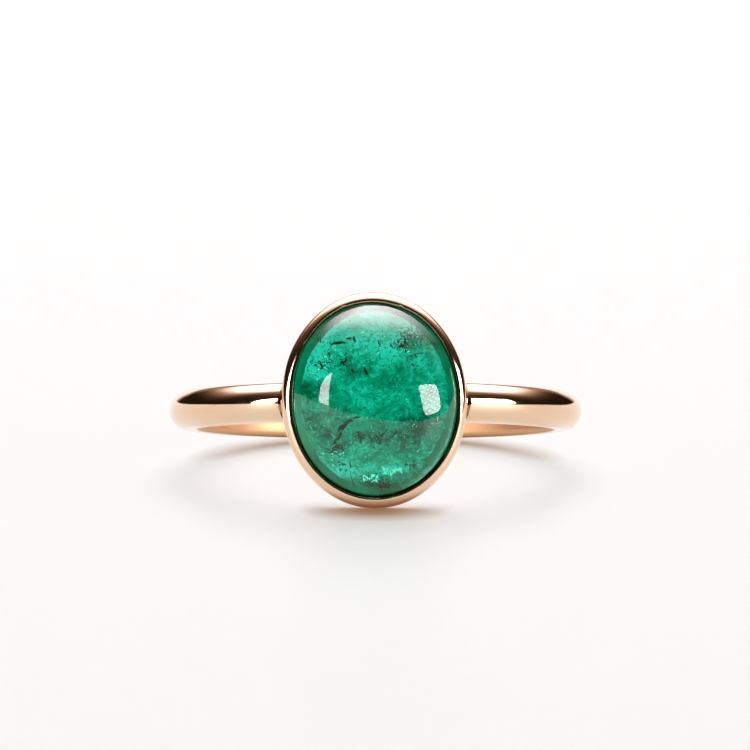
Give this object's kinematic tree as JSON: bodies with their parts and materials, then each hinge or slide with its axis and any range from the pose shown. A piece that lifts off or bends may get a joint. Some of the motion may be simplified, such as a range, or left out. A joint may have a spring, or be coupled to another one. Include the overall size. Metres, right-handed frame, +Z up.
{
  "type": "emerald ring",
  "caption": "Finger ring with a plain half-round band and an oval bezel that holds a smooth domed green gemstone, lying on its side.",
  "frame": {"origin": "middle of the bounding box in X and Y, on the surface that the ring lies on", "axes": "+Z up; the stone faces -Y and a little upwards; the finger passes along +Z, leaning 12.5 degrees towards +Y"},
  "size_m": [0.02, 0.0228, 0.0101],
  "materials": {
    "rose_gold": "polished rose gold",
    "emerald": "polished green beryl, clear with inclusions"
  },
  "bodies": {
    "root": {"band": "rose_gold", "bezel": "rose_gold", "emerald": "emerald"}
  },
  "joints": []
}
